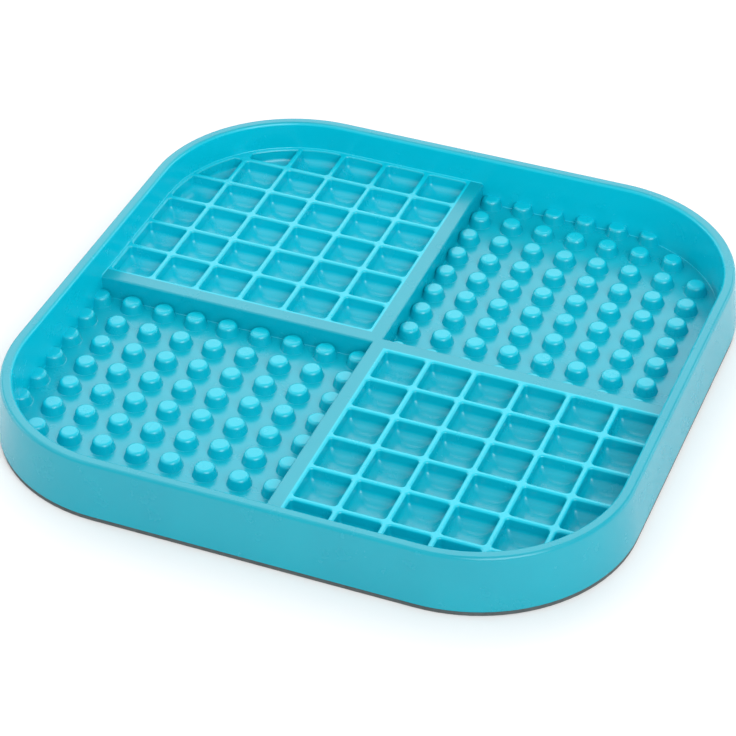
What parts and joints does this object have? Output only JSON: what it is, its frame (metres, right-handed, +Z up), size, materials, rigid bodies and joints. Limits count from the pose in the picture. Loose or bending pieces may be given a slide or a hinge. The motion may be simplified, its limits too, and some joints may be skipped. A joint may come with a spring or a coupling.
{
  "type": "slow feeder mat",
  "caption": "Square moulded feeder tray with a low wall, round corners and a cross divider, with two fields of square pockets and two sunk fields of round domes.",
  "frame": {"origin": "middle of the underside, on the surface that the mat lies on", "axes": "+Z up; +X along the front wall to the right; +Y from the front wall to the back wall, so that the pocket fields lie back left and front right"},
  "size_m": [0.28, 0.28, 0.028],
  "materials": {
    "tray_rubber": "satin moulded rubber, turquoise",
    "grip_rubber": "matt dark grey grip rubber"
  },
  "bodies": {
    "root": {"tray": "tray_rubber", "base_pad": "grip_rubber"}
  },
  "joints": []
}
